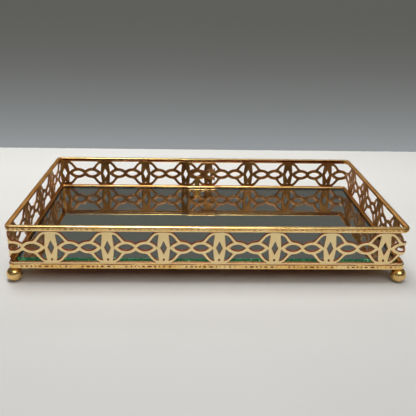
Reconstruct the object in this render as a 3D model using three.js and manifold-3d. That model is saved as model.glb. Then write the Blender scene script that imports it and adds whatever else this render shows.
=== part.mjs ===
// Mirrored dresser vanity tray: a pierced brass gallery lapped round a shallow pan, with a mirror floor
// and four ball feet.
// Millimetres. +X runs along the long side, +Y from front to back, +Z up. The origin is on the surface that
// the tray stands on, under the centre of the pan.
import * as THREE from "three";
import { mergeVertices } from "three/addons/utils/BufferGeometryUtils.js";
import Module from "manifold-3d";

const wasm = await Module();
wasm.setup();

// ---------------------------------------------------------------------------------------- driving sizes

const TRAY_LENGTH = 300;
const TRAY_DEPTH = 177;
const CORNER_RADIUS = 5; // outside radius of the pan's corners, seen from above
const CORNER_STEPS = 4; // flat facets in a quarter turn: an even number, so that one edge is at 45 degrees
const TOUCH_GAP = 0.05; // between pieces that rest on each other

const BALL_RADIUS = 6;
const BALL_REST_RADIUS = 1.6; // small turned flat that meets the table
const BALL_SEAT_RADIUS = 2.2; // flat on top of the ball, under the collar
const FOOT_INSET_SIDE = 2.4; // foot axis, in from the end face of the tray
const FOOT_INSET_FRONT = 5.9; // foot axis, in from the front or back face
const COLLAR_HEIGHT = 1.7;
const COLLAR_RADIUS = 2.6;
const COLLAR_WAIST = 0.5; // how far the collar's side is turned in
const STUD_RADIUS = 0.85;
const STUD_DEPTH = 5; // length of stud inside the ball
const STUD_CLEARANCE = 0.1; // all round the stud

const PAN_SHEET = 0.6;
const PAN_LIP_HEIGHT = 3.1; // from the underside of the pan to the top of its upturned lip

const BOARD_THICKNESS = 0.8;
const BOARD_INSET = 9; // in from the outside of the pan
const BOARD_CORNER = 3;

const GALLERY_HEIGHT = 32.2; // the whole sheet, from the pan's floor up into the rim
const GALLERY_SHEET = 1.4;
const GALLERY_FIT = 0.05; // between the sheet and the pan's lip, and on each side in the rim's slot
const REPEAT_LENGTH = 41.6; // wanted length of one repeat of the pattern
const LAP_LENGTH = 18; // how far the two ends of the gallery sheet overlap
const LAP_X = -7.6; // middle of the lap, on the back wall
const LAP_RAMP = 2.5; // length over which the inner end steps inwards

const FOOT_MARGIN = 4.3; // plain sheet below the piercing
const HEAD_MARGIN = 3; // plain sheet above the piercing
const POST_HALF_WIDTH_END = 3.6; // a post where it meets the margins
const POST_HALF_WIDTH_MIDDLE = 5; // a post at its middle
const DIAMOND_HALF_WIDTH = 2.2;
const DIAMOND_HALF_HEIGHT = 5.1;
const RING_HALF_LENGTH = 7.1; // from the middle of an almond ring to the neck where it meets the next ring
const RING_HALF_HEIGHT = 5.4;
const NECK_HALF_HEIGHT = 2.9; // of the neck, halfway between posts
const RING_WINDOW_HALF_LENGTH = 5.5;
const RING_WINDOW_HALF_HEIGHT = 2.4;
const ARCH_BAR = 2.7; // width of the bars of the ogee arches
const ARCH_OVERRUN = 0.6; // how far the crown of an arch runs into the margin
const ARCH_SHOULDER = 2; // the power that fills out the arch's shoulders
const ARCH_STEPS = 5;
const SAIL_STEPS = 3;
const RING_STEPS = 2;
const RING_WINDOW_STEPS = 4;
const LEAST_WEB = 0.6; // the thinnest metal or slot that the piercing is allowed to end in

const RIM_WALL = 0.45;
const RIM_OUTER_FLANGE = 2.6; // depth of the rim's outside flange below its bead
const RIM_INNER_FLANGE = 2.6;
const RIM_OUTER_OVERHANG = 0.15; // how far the bead stands out past the outside flange
const RIM_INNER_OVERHANG = 1.1; // and past the inside flange, where a thumb rests
const RIM_BEAD_RISE = 0.9; // height of the bead above the flanges
const RIM_BEAD_STEPS = 6;
const MITRE_GAP = 0.1; // between neighbouring lengths at the middle of a corner

const SEAM_BEAD_RADIUS = 0.85;
const SEAM_BEAD_SIDES = 8;
const SEAM_BEAD_TOP_BELOW_PIERCING = 0.1;

const MIRROR_THICKNESS = 2.9; // the clear glass
const MIRROR_BACKING = 0.3; // silver and paint under the glass
const MIRROR_MARGIN = 0.3; // between the glass and the seam bead, on three sides
const MIRROR_FRONT_GAP = 5.9; // the glass is cut short, and has slid to the back
const MIRROR_CORNER = 1.5;
const MIRROR_ARRIS = 0.4; // ground edge

const CLIP_WIDTH = 5;
const CLIP_HEIGHT = 8;
const CLIP_SHEET = 0.5;

// --------------------------------------------------------------------------------------- derived sizes

const footTop = ballSeatHeight();
const collarBottom = footTop + TOUCH_GAP;
const panBottom = collarBottom + COLLAR_HEIGHT + TOUCH_GAP;
const panFloor = panBottom + PAN_SHEET;
const galleryBottom = panFloor + TOUCH_GAP;
const galleryTop = galleryBottom + GALLERY_HEIGHT;
const pierceBottom = galleryBottom + FOOT_MARGIN;
const pierceTop = galleryTop - HEAD_MARGIN;
const pierceMiddle = (pierceBottom + pierceTop) / 2;
const pierceHalf = (pierceTop - pierceBottom) / 2;

// Depths inwards from the outside of the pan.
const galleryFront = PAN_SHEET + GALLERY_FIT;
const galleryBack = galleryFront + GALLERY_SHEET;
const gallerySkin = (galleryFront + galleryBack) / 2;
const beadFront = galleryBack + TOUCH_GAP;
const beadBack = beadFront + 2 * SEAM_BEAD_RADIUS;

// ------------------------------------------------------------------------------------------- materials

const metal = (name, colour, roughness) =>
  new THREE.MeshStandardMaterial({ name, color: colour, roughness, metalness: 1 });

const materials = {
  gallery: metal("satin_gold", 0xd8b064, 0.38),
  rim: metal("bright_gold", 0xe2bd6c, 0.22),
  pan: metal("pan_gold", 0xc9a056, 0.42),
  ball: metal("polished_gold", 0xd09c3c, 0.16),
  stud: metal("turned_brass", 0xb08d4a, 0.35),
  silver: metal("mirror_silver", 0xbfc2c0, 0.05),
  glass: new THREE.MeshStandardMaterial({
    name: "green_edged_glass",
    color: 0x4f6f62,
    roughness: 0.03,
    metalness: 0,
  }),
  board: new THREE.MeshStandardMaterial({
    name: "brown_board",
    color: 0x35201a,
    roughness: 0.8,
    metalness: 0,
  }),
};

// ------------------------------------------------------------------------------ solids, cuts and meshes

// A closed geometry as a solid that can be joined and cut.
function toSolid(geometry) {
  const bare = geometry.clone();
  bare.deleteAttribute("normal");
  bare.deleteAttribute("uv");
  const merged = mergeVertices(bare, 1e-4);
  return new wasm.Manifold(
    new wasm.Mesh({
      numProp: 3,
      vertProperties: new Float32Array(merged.attributes.position.array),
      triVerts: new Uint32Array(merged.index.array),
    }),
  );
}

function toGeometry(solid) {
  const mesh = solid.getMesh();
  const places = new Float32Array(mesh.numVert * 3);
  for (let i = 0; i < mesh.numVert; i += 1) {
    const start = i * mesh.numProp;
    places.set(mesh.vertProperties.subarray(start, start + 3), i * 3);
  }
  const geometry = new THREE.BufferGeometry();
  geometry.setAttribute("position", new THREE.BufferAttribute(places, 3));
  geometry.setIndex(new THREE.BufferAttribute(mesh.triVerts, 1));
  return geometry;
}

const tray = new THREE.Group();

function addPiece(name, geometry, material, x = 0, y = 0, z = 0) {
  const shaded = geometry.index ? geometry.toNonIndexed() : geometry;
  shaded.computeVertexNormals();
  const mesh = new THREE.Mesh(shaded, material);
  mesh.name = name;
  mesh.position.set(x, y, z);
  tray.add(mesh);
  return mesh;
}

// ------------------------------------------------------------------------------- plan shapes and plates

// A rectangle centred on the origin with rounded corners.
function roundedRectangle(length, depth, radius) {
  const x = length / 2 - radius;
  const y = depth / 2 - radius;
  const shape = new THREE.Shape();
  shape.absarc(x, -y, radius, -Math.PI / 2, 0);
  shape.absarc(x, y, radius, 0, Math.PI / 2);
  shape.absarc(-x, y, radius, Math.PI / 2, Math.PI);
  shape.absarc(-x, -y, radius, Math.PI, 1.5 * Math.PI);
  shape.closePath();
  return shape;
}

// The tray's plan, taken in by a distance on every side.
function insetPlan(inset, radius) {
  return roundedRectangle(TRAY_LENGTH - 2 * inset, TRAY_DEPTH - 2 * inset, radius);
}

function plate(shape, bottom, top) {
  const geometry = new THREE.ExtrudeGeometry(shape, {
    depth: top - bottom,
    bevelEnabled: false,
    curveSegments: CORNER_STEPS,
  });
  return geometry.translate(0, 0, bottom);
}

// The four foot axes: front left, front right, back right, back left.
const footX = TRAY_LENGTH / 2 - FOOT_INSET_SIDE;
const footY = TRAY_DEPTH / 2 - FOOT_INSET_FRONT;
const feet = [
  { place: "front_left", x: -footX, y: -footY },
  { place: "front_right", x: footX, y: -footY },
  { place: "back_right", x: footX, y: footY },
  { place: "back_left", x: -footX, y: footY },
];

// ------------------------------------------------------------------------------------------ the wall path

// The gallery's middle skin as a path seen from above. It starts on the back wall at the outer end of the
// lap and runs anticlockwise: left along the back, down the left side, along the front and up the right
// side. Each stop has a distance along the path, a place and the direction that points into the tray.
const pathX = TRAY_LENGTH / 2 - gallerySkin;
const pathY = TRAY_DEPTH / 2 - gallerySkin;
const pathRadius = CORNER_RADIUS - gallerySkin;
const lapStartX = LAP_X + LAP_LENGTH / 2;
const lapEndX = LAP_X - LAP_LENGTH / 2;

function wallPath() {
  const stops = [];
  const addStop = (x, y, angle) => {
    const last = stops[stops.length - 1];
    const along = last ? last.along + Math.hypot(x - last.x, y - last.y) : 0;
    stops.push({ along, x, y, inX: -Math.cos(angle), inY: -Math.sin(angle) });
  };
  addStop(lapStartX, pathY, Math.PI / 2);
  const corners = [
    { x: -1, y: 1 },
    { x: -1, y: -1 },
    { x: 1, y: -1 },
    { x: 1, y: 1 },
  ];
  corners.forEach((corner, turn) => {
    const centreX = corner.x * (pathX - pathRadius);
    const centreY = corner.y * (pathY - pathRadius);
    for (let step = 0; step <= CORNER_STEPS; step += 1) {
      const angle = (Math.PI / 2) * (1 + turn + step / CORNER_STEPS);
      const x = centreX + pathRadius * Math.cos(angle);
      const y = centreY + pathRadius * Math.sin(angle);
      addStop(x, y, angle);
    }
  });
  addStop(lapStartX, pathY, Math.PI / 2);
  return stops;
}

const stops = wallPath();
const perimeter = stops[stops.length - 1].along;
const stripLength = perimeter + LAP_LENGTH;
const repeats = Math.round(stripLength / REPEAT_LENGTH);
const pitch = stripLength / repeats;

// Where a strip bends, on its first turn round the tray and on its second.
const bendLines = [0, perimeter].flatMap((turn) => stops.map((stop) => stop.along + turn));

// Distance along the path of the middle of each corner: back left, front left, front right, back right.
const cornerMiddles = [0, 1, 2, 3].map((corner) => {
  const first = 1 + corner * (CORNER_STEPS + 1);
  return stops[first + CORNER_STEPS / 2].along;
});

// Distance along the path where the front left corner starts to bend, and where the front right one ends.
const frontLeftStart = stops[1 + (CORNER_STEPS + 1)].along;
const frontRightEnd = stops[1 + 2 * (CORNER_STEPS + 1) + CORNER_STEPS].along;

// Past the full turn the path goes round again, so that the lapped end of the sheet has a place too.
function stopAt(along) {
  const lapsRound = along > perimeter ? perimeter : 0;
  const wanted = along - lapsRound;
  let i = 1;
  while (i < stops.length - 1 && stops[i].along < wanted) i += 1;
  const a = stops[i - 1];
  const b = stops[i];
  const share = (wanted - a.along) / (b.along - a.along);
  const mix = (key) => a[key] + (b[key] - a[key]) * share;
  return { x: mix("x"), y: mix("y"), inX: mix("inX"), inY: mix("inY") };
}

// --------------------------------------------------------------------------------------- bending a strip

// Cuts every triangle at the planes x = cut, so that the surface can bend there.
function splitAt(triangles, cut) {
  const done = [];
  const cross = (low, high) => {
    const share = (cut - low[0]) / (high[0] - low[0]);
    return [cut, low[1] + (high[1] - low[1]) * share, low[2] + (high[2] - low[2]) * share];
  };
  for (const triangle of triangles) {
    const below = [];
    const above = [];
    for (let i = 0; i < 3; i += 1) {
      const a = triangle[i];
      const b = triangle[(i + 1) % 3];
      if (a[0] <= cut) below.push(a);
      if (a[0] >= cut) above.push(a);
      if ((a[0] < cut && b[0] > cut) || (a[0] > cut && b[0] < cut)) {
        const point = a[0] < b[0] ? cross(a, b) : cross(b, a);
        below.push(point);
        above.push(point);
      }
    }
    for (const polygon of [below, above]) {
      const flat = polygon.every((point) => point[0] === cut);
      const other = polygon === above && flat;
      for (let i = 2; i < polygon.length && !other; i += 1) {
        done.push([polygon[0], polygon[i - 1], polygon[i]]);
      }
    }
  }
  return done;
}

// Bends a flat strip round the tray. The strip lies along X, its Y is the depth in from the outside of the
// pan, and its Z is the height. stepIn says how much deeper the strip lies at each distance along.
function bendStrip(geometry, extraCuts = [], stepIn = () => 0) {
  const flat = geometry.index ? geometry.toNonIndexed() : geometry;
  const places = flat.attributes.position;
  let triangles = [];
  for (let i = 0; i < places.count; i += 3) {
    const corner = (k) => [places.getX(i + k), places.getY(i + k), places.getZ(i + k)].map(Math.fround);
    triangles.push([corner(0), corner(1), corner(2)]);
  }
  flat.computeBoundingBox();
  const { min, max } = flat.boundingBox;
  const cuts = bendLines.concat(extraCuts);
  for (const cut of cuts.map(Math.fround)) {
    if (cut > min.x + TOUCH_GAP && cut < max.x - TOUCH_GAP) triangles = splitAt(triangles, cut);
  }
  const bent = new Float32Array(triangles.length * 9);
  triangles.flat().forEach(([along, depth, height], i) => {
    const stop = stopAt(along);
    const inwards = depth - gallerySkin + stepIn(along);
    bent.set([stop.x + stop.inX * inwards, stop.y + stop.inY * inwards, height], i * 3);
  });
  const result = new THREE.BufferGeometry();
  result.setAttribute("position", new THREE.BufferAttribute(bent, 3));
  return result;
}

// A flat bar along X from one distance to another, with a section given as [depth, height] points. It has a
// ring of points at each place where it will bend.
function flatBar(section, from, to, extraCuts = []) {
  const shape = new THREE.Shape(section.map(([depth, height]) => new THREE.Vector2(depth, height)));
  const inside = bendLines.concat(extraCuts).filter((cut) => cut > from + TOUCH_GAP && cut < to - TOUCH_GAP);
  const rings = [from, ...inside.sort((a, b) => a - b), to];
  const steps = rings.length - 1;
  const bar = new THREE.ExtrudeGeometry(shape, { depth: steps, steps, bevelEnabled: false });
  const places = bar.attributes.position;
  for (let i = 0; i < places.count; i += 1) {
    places.setZ(i, rings[Math.round(places.getZ(i))] - from);
  }
  const turn = new THREE.Matrix4().makeBasis(
    new THREE.Vector3(0, 1, 0),
    new THREE.Vector3(0, 0, 1),
    new THREE.Vector3(1, 0, 0),
  );
  return bar.applyMatrix4(turn).translate(from, 0, 0);
}

// --------------------------------------------------------------------------- the pierced gallery pattern

// The repeat is a closed lattice. A post with a diamond window stands on each repeat, an almond ring lies on
// each side of it, and ogee arches run from the post's head and foot and land on the crests of the rings.
// Distances are from the post's middle, heights from the middle of the piercing.

const ringCentre = pitch / 2 - RING_HALF_LENGTH;
const ringDrop = RING_HALF_HEIGHT - NECK_HALF_HEIGHT;
const ringRadius = (RING_HALF_LENGTH ** 2 + ringDrop ** 2) / (2 * ringDrop);
const archRise = pierceHalf - RING_HALF_HEIGHT + ARCH_OVERRUN;

const ringEdge = (x) =>
  RING_HALF_HEIGHT - ringRadius + Math.sqrt(ringRadius ** 2 - (x - ringCentre) ** 2);
const archEdge = (x) =>
  RING_HALF_HEIGHT + (archRise * (1 + Math.cos(Math.PI * (x / ringCentre) ** ARCH_SHOULDER))) / 2;
const archSlope = (x) => (archEdge(x + 0.01) - archEdge(x - 0.01)) / 0.02;
const archUnderside = (x) => archEdge(x) - ARCH_BAR * Math.hypot(1, archSlope(x));
const postEdge = (height) =>
  POST_HALF_WIDTH_END +
  (POST_HALF_WIDTH_MIDDLE - POST_HALF_WIDTH_END) * (1 - Math.abs(height) / pierceHalf);

// The first place between two distances where a falling measure drops to nothing.
function findZero(measure, from, to) {
  let low = from;
  let high = to;
  for (let i = 0; i < 40; i += 1) {
    const middle = (low + high) / 2;
    if (measure(middle) > 0) low = middle;
    else high = middle;
  }
  return low;
}

const sample = (from, to, steps, place) =>
  Array.from({ length: steps + 1 }, (_, i) => place(from + ((to - from) * i) / steps));

// The opening between two posts, above the rings: along the margin, then over arch, rings and arch.
function crestWindow() {
  const start = findZero((x) => archEdge(x) - pierceHalf, 0, ringCentre);
  const arch = sample(start, ringCentre, ARCH_STEPS, (x) => [x, archEdge(x)]);
  const ring = sample(ringCentre, pitch / 2, RING_STEPS, (x) => [x, ringEdge(x)]).slice(1);
  const left = arch.concat(ring);
  const right = left.slice(0, -1).map(([x, z]) => [pitch - x, z]);
  return left.concat(right.reverse());
}

// The three-sided opening between a post, an arch and a ring.
function sailWindow() {
  const postSide = (POST_HALF_WIDTH_END + POST_HALF_WIDTH_MIDDLE) / 2;
  const tip = findZero((x) => archUnderside(x) - ringEdge(x) - LEAST_WEB, postSide, ringCentre);
  const head = archUnderside(postEdge(archUnderside(postSide)));
  const foot = ringEdge(postEdge(ringEdge(postSide)));
  const over = sample(postEdge(head), tip, SAIL_STEPS, (x) => [x, archUnderside(x)]);
  const under = sample(tip, postEdge(foot), SAIL_STEPS, (x) => [x, ringEdge(x)]);
  return over.concat(under);
}

function ringWindow() {
  const a = RING_WINDOW_HALF_LENGTH;
  const h = RING_WINDOW_HALF_HEIGHT;
  const radius = (a * a + h * h) / (2 * h);
  const edge = (x) => h - radius + Math.sqrt(radius * radius - x * x);
  const over = sample(-a, a, RING_WINDOW_STEPS, (x) => [ringCentre + x, edge(x)]);
  const under = sample(a, -a, RING_WINDOW_STEPS, (x) => [ringCentre + x, -edge(x)]);
  return over.concat(under.slice(1, -1));
}

const diamondWindow = () => [
  [-DIAMOND_HALF_WIDTH, 0],
  [0, DIAMOND_HALF_HEIGHT],
  [DIAMOND_HALF_WIDTH, 0],
  [0, -DIAMOND_HALF_HEIGHT],
];

const mirrorAcross = (outline) => outline.map(([x, z]) => [-x, z]).reverse();
const mirrorDown = (outline) => outline.map(([x, z]) => [x, -z]).reverse();

// Every window that belongs to one post: its own diamond, two rings, four sails and the two openings that
// follow it.
function windowsOfOnePost() {
  const sail = sailWindow();
  const ring = ringWindow();
  const crest = crestWindow();
  return [
    diamondWindow(),
    ring,
    mirrorAcross(ring),
    sail,
    mirrorAcross(sail),
    mirrorDown(sail),
    mirrorAcross(mirrorDown(sail)),
    crest,
    mirrorDown(crest),
  ];
}

// A window as a cutter that passes through the flat sheet, with its post at a distance along.
function cutter(outline, post) {
  const points = outline.map(([x, z]) => new THREE.Vector2(post + x, pierceMiddle + z));
  const geometry = new THREE.ExtrudeGeometry(new THREE.Shape(points), {
    depth: GALLERY_SHEET + 2,
    bevelEnabled: false,
  });
  const turn = new THREE.Matrix4().makeRotationX(Math.PI / 2);
  return toSolid(geometry.applyMatrix4(turn).translate(0, galleryBack + 1, 0));
}

// The flat pierced sheet between two distances along the strip.
function piercedSheet(from, to) {
  const section = [
    [galleryFront, galleryBottom],
    [galleryBack, galleryBottom],
    [galleryBack, galleryTop],
    [galleryFront, galleryTop],
  ];
  let sheet = toSolid(flatBar(section, from, to));
  const outlines = windowsOfOnePost();
  for (let i = -1; i <= repeats; i += 1) {
    const post = (i + 0.5) * pitch;
    if (post + pitch < from || post - pitch / 2 > to) continue;
    for (const outline of outlines) sheet = sheet.subtract(cutter(outline, post));
  }
  return toGeometry(sheet);
}

const halfMitre = MITRE_GAP / 2;
const wallSpans = [
  { name: "left", from: cornerMiddles[0], to: cornerMiddles[1] },
  { name: "front", from: cornerMiddles[1], to: cornerMiddles[2] },
  { name: "right", from: cornerMiddles[2], to: cornerMiddles[3] },
];

function addGallery() {
  for (const { name, from, to } of wallSpans) {
    const sheet = piercedSheet(from + halfMitre, to - halfMitre);
    addPiece(`gallery_${name}`, bendStrip(sheet), materials.gallery);
  }
  const backRight = piercedSheet(cornerMiddles[3] + halfMitre, stripLength);
  addPiece("gallery_back_right", bendStrip(backRight), materials.gallery);
  const stepDepth = GALLERY_SHEET + TOUCH_GAP;
  const rampStart = LAP_LENGTH + MITRE_GAP;
  const rampEnd = rampStart + LAP_RAMP;
  const stepIn = (along) => stepDepth * THREE.MathUtils.clamp((rampEnd - along) / LAP_RAMP, 0, 1);
  const backLeft = piercedSheet(0, cornerMiddles[0] - halfMitre);
  addPiece("gallery_back_left", bendStrip(backLeft, [rampStart, rampEnd], stepIn), materials.gallery);
}

// --------------------------------------------------------------------------------------------- the rim

// A rolled rim: a flattened bead over a slot that takes the top edge of the gallery, with a flange down each
// side. On the back wall the slot is wide enough for both layers of the lap.
function rimSection(slotDepth) {
  const slotFront = galleryFront - GALLERY_FIT;
  const slotBack = slotFront + slotDepth;
  const front = slotFront - RIM_WALL;
  const back = slotBack + RIM_WALL;
  const slotTop = galleryTop + TOUCH_GAP;
  const beadHalf = (back - front + RIM_OUTER_OVERHANG + RIM_INNER_OVERHANG) / 2;
  const middle = front - RIM_OUTER_OVERHANG + beadHalf;
  const beadFoot = slotTop + RIM_WALL;
  const bead = sample(0, Math.PI, RIM_BEAD_STEPS, (angle) => [
    middle + beadHalf * Math.cos(angle),
    beadFoot + RIM_BEAD_RISE * Math.sin(angle),
  ]);
  return [
    [front, beadFoot - RIM_OUTER_FLANGE],
    [slotFront, beadFoot - RIM_OUTER_FLANGE],
    [slotFront, slotTop],
    [slotBack, slotTop],
    [slotBack, beadFoot - RIM_INNER_FLANGE],
    [back, beadFoot - RIM_INNER_FLANGE],
    [back, beadFoot],
    ...bead,
    [front, beadFoot],
  ];
}

function addRim() {
  const section = rimSection(GALLERY_SHEET + 2 * GALLERY_FIT);
  for (const { name, from, to } of wallSpans) {
    const bar = flatBar(section, from + halfMitre, to - halfMitre);
    addPiece(`top_rim_${name}`, bendStrip(bar), materials.rim);
  }
  const lapSlot = 2 * GALLERY_SHEET + TOUCH_GAP + 2 * GALLERY_FIT;
  const from = cornerMiddles[3] + halfMitre;
  const to = perimeter + cornerMiddles[0] - halfMitre;
  const back = toSolid(flatBar(section, from, to));
  const lapFrom = perimeter - TOUCH_GAP;
  const lapTo = perimeter + LAP_LENGTH + LAP_RAMP + TOUCH_GAP + MITRE_GAP;
  const housing = toSolid(flatBar(rimSection(lapSlot), lapFrom, lapTo));
  const room = [
    [galleryFront - GALLERY_FIT, galleryBottom],
    [galleryFront - GALLERY_FIT + lapSlot, galleryBottom],
    [galleryFront - GALLERY_FIT + lapSlot, galleryTop + TOUCH_GAP],
    [galleryFront - GALLERY_FIT, galleryTop + TOUCH_GAP],
  ];
  const slot = toSolid(flatBar(room, lapFrom + TOUCH_GAP, lapTo - TOUCH_GAP));
  const joined = toGeometry(back.add(housing).subtract(slot));
  addPiece("top_rim_back", bendStrip(joined), materials.rim);
}

// --------------------------------------------------------------------------- the seam bead and the clip

// The bead covers the mirror's edge on three sides. The front, where the glass stops short, has none.
function addSeamBead() {
  const top = pierceBottom - SEAM_BEAD_TOP_BELOW_PIERCING;
  const centreHeight = top - SEAM_BEAD_RADIUS;
  const lapShift = GALLERY_SHEET + TOUCH_GAP;
  const section = sample(0, 2 * Math.PI, SEAM_BEAD_SIDES, (angle) => [
    beadFront + SEAM_BEAD_RADIUS * (1 + Math.cos(angle)),
    centreHeight + SEAM_BEAD_RADIUS * Math.sin(angle),
  ]).slice(0, -1);
  const rampStart = LAP_LENGTH + MITRE_GAP;
  const rampEnd = rampStart + LAP_RAMP;
  const leave = TOUCH_GAP + LAP_RAMP;
  const stepIn = (along) => {
    const left = THREE.MathUtils.clamp((rampEnd + TOUCH_GAP - along) / LAP_RAMP, 0, 1);
    const right = THREE.MathUtils.clamp((along - (perimeter - leave)) / LAP_RAMP, 0, 1);
    return lapShift * Math.max(left, right);
  };
  const cuts = [rampStart + TOUCH_GAP, rampEnd + TOUCH_GAP, perimeter - leave, perimeter - TOUCH_GAP];
  const lengths = [
    { name: "left", from: halfMitre, to: frontLeftStart },
    { name: "right", from: frontRightEnd, to: perimeter - halfMitre },
  ];
  for (const { name, from, to } of lengths) {
    const bar = flatBar(section, from, to, cuts);
    addPiece(`seam_bead_${name}`, bendStrip(bar, cuts, stepIn), materials.rim);
  }
}

// A small plate soldered inside the lap, just above the seam bead.
function addSeamClip() {
  const front = galleryBack + GALLERY_SHEET + 2 * TOUCH_GAP;
  const bottom = pierceBottom + TOUCH_GAP;
  const section = [
    [front, bottom],
    [front + CLIP_SHEET, bottom],
    [front + CLIP_SHEET, bottom + CLIP_HEIGHT - 1],
    [front + CLIP_SHEET / 2, bottom + CLIP_HEIGHT],
    [front, bottom + CLIP_HEIGHT],
  ];
  const middle = LAP_LENGTH / 2;
  const bar = flatBar(section, middle - CLIP_WIDTH / 2, middle + CLIP_WIDTH / 2);
  addPiece("seam_clip", bendStrip(bar), materials.stud);
}

// ----------------------------------------------------------------------------- the pan, board and mirror

function addPan() {
  const outside = toSolid(plate(insetPlan(0, CORNER_RADIUS), panBottom, panBottom + PAN_LIP_HEIGHT));
  const pocket = insetPlan(PAN_SHEET, CORNER_RADIUS - PAN_SHEET);
  const inside = toSolid(plate(pocket, panFloor, panBottom + PAN_LIP_HEIGHT + PAN_SHEET));
  let pan = outside.subtract(inside);
  for (const { x, y } of feet) {
    const hole = new THREE.CylinderGeometry(
      STUD_RADIUS + STUD_CLEARANCE,
      STUD_RADIUS + STUD_CLEARANCE,
      4 * PAN_SHEET,
      12,
    );
    hole.rotateX(Math.PI / 2);
    hole.translate(x, y, panFloor);
    pan = pan.subtract(toSolid(hole));
  }
  addPiece("base_pan", toGeometry(pan), materials.pan);
}

function addBoard() {
  const top = panBottom - TOUCH_GAP;
  const shape = insetPlan(BOARD_INSET, BOARD_CORNER);
  addPiece("base_board", plate(shape, top - BOARD_THICKNESS, top), materials.board);
}

const mirrorX = TRAY_LENGTH / 2 - beadBack - MIRROR_MARGIN;
const mirrorBackY = TRAY_DEPTH / 2 - beadBack - GALLERY_SHEET - MIRROR_MARGIN;
const mirrorFrontY = -TRAY_DEPTH / 2 + beadBack + MIRROR_FRONT_GAP;
const mirrorLength = 2 * mirrorX;
const mirrorDepth = mirrorBackY - mirrorFrontY;
const mirrorCentreY = (mirrorBackY + mirrorFrontY) / 2;

function addMirror() {
  const backingBottom = panFloor + TOUCH_GAP;
  const glassBottom = backingBottom + MIRROR_BACKING + TOUCH_GAP;
  const plan = roundedRectangle(
    mirrorLength - 2 * MIRROR_ARRIS,
    mirrorDepth - 2 * MIRROR_ARRIS,
    MIRROR_CORNER,
  );
  const silver = plate(plan, backingBottom, backingBottom + MIRROR_BACKING);
  addPiece("mirror_silvering", silver, materials.silver, 0, mirrorCentreY, 0);
  const glass = new THREE.ExtrudeGeometry(plan, {
    depth: MIRROR_THICKNESS - 2 * MIRROR_ARRIS,
    bevelThickness: MIRROR_ARRIS,
    bevelSize: MIRROR_ARRIS,
    bevelSegments: 1,
    curveSegments: CORNER_STEPS,
  });
  glass.translate(0, 0, glassBottom + MIRROR_ARRIS);
  addPiece("mirror_glass", glass, materials.glass, 0, mirrorCentreY, 0);
}

// --------------------------------------------------------------------------------------------- the feet

// Height of the flat on top of the ball, above the table.
function ballSeatHeight() {
  const centre = Math.sqrt(BALL_RADIUS ** 2 - BALL_REST_RADIUS ** 2);
  return centre + Math.sqrt(BALL_RADIUS ** 2 - BALL_SEAT_RADIUS ** 2);
}

// A turned solid from [radius, height] points that start and end on the axis.
function turned(profile, sides) {
  const points = profile.map(([radius, height]) => new THREE.Vector2(radius, height));
  return new THREE.LatheGeometry(points, sides).rotateX(Math.PI / 2);
}

function ballFoot() {
  const centre = Math.sqrt(BALL_RADIUS ** 2 - BALL_REST_RADIUS ** 2);
  const first = -Math.acos(BALL_REST_RADIUS / BALL_RADIUS);
  const last = Math.acos(BALL_SEAT_RADIUS / BALL_RADIUS);
  const round = sample(first, last, 8, (angle) => [
    BALL_RADIUS * Math.cos(angle),
    centre + BALL_RADIUS * Math.sin(angle),
  ]);
  const bore = STUD_RADIUS + STUD_CLEARANCE;
  const boreBottom = footTop - STUD_DEPTH - STUD_CLEARANCE;
  return turned([[0, 0], ...round, [bore, footTop], [bore, boreBottom], [0, boreBottom]], 16);
}

function collar() {
  const bore = STUD_RADIUS + STUD_CLEARANCE;
  const waist = COLLAR_RADIUS - COLLAR_WAIST;
  return turned(
    [
      [bore, 0],
      [COLLAR_RADIUS, 0],
      [COLLAR_RADIUS, COLLAR_HEIGHT * 0.2],
      [waist, COLLAR_HEIGHT * 0.45],
      [waist, COLLAR_HEIGHT * 0.65],
      [COLLAR_RADIUS, COLLAR_HEIGHT * 0.85],
      [COLLAR_RADIUS, COLLAR_HEIGHT],
      [bore, COLLAR_HEIGHT],
      [bore, 0],
    ],
    16,
  );
}

function stud() {
  const length = panFloor - (footTop - STUD_DEPTH);
  return turned(
    [
      [0, 0],
      [STUD_RADIUS - 0.2, 0],
      [STUD_RADIUS, 0.3],
      [STUD_RADIUS, length],
      [0, length],
    ],
    12,
  );
}

function addFeet() {
  for (const { place, x, y } of feet) {
    addPiece(`foot_ball_${place}`, ballFoot(), materials.ball, x, y, 0);
    addPiece(`foot_collar_${place}`, collar(), materials.ball, x, y, collarBottom);
    addPiece(`foot_stud_${place}`, stud(), materials.stud, x, y, footTop - STUD_DEPTH);
  }
}

addPan();
addBoard();
addMirror();
addGallery();
addRim();
addSeamBead();
addSeamClip();
addFeet();

export default tray;
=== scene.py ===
# %% [markdown]
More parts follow.
